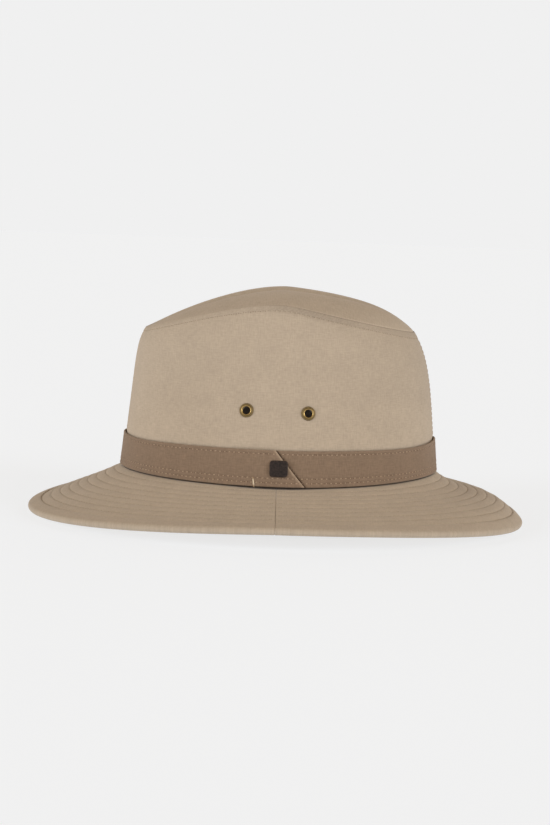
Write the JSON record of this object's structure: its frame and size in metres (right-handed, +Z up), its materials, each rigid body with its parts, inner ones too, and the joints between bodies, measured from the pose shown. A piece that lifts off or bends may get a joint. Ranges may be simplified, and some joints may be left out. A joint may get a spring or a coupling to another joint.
{
  "type": "safari hat",
  "caption": "Cotton safari hat with a creased crown, a seamed tip panel, a stitched brim with a padded edge, a lapped cloth band and brass ventilation eyelets.",
  "frame": {"origin": "centre of the hat's length and width, on the surface that its brim stands on", "axes": "front of the hat towards -Y, wearer's left towards +X, +Z up"},
  "size_m": [0.2958, 0.324, 0.1487],
  "materials": {
    "crown": "khaki cotton twill",
    "brim": "khaki cotton twill in two layers, stitched in rings",
    "band": "brown cotton twill strip with folded edges",
    "patch": "small dark bare patch",
    "eyelet": "antique brass"
  },
  "bodies": {
    "root": {"crown_side": "crown", "crown_top": "crown", "brim_front": "brim", "brim_back": "brim", "hat_band": "band", "band_patch": "patch", "eyelet_left_front": "eyelet", "eyelet_left_back": "eyelet", "eyelet_right_front": "eyelet", "eyelet_right_back": "eyelet"}
  },
  "joints": []
}
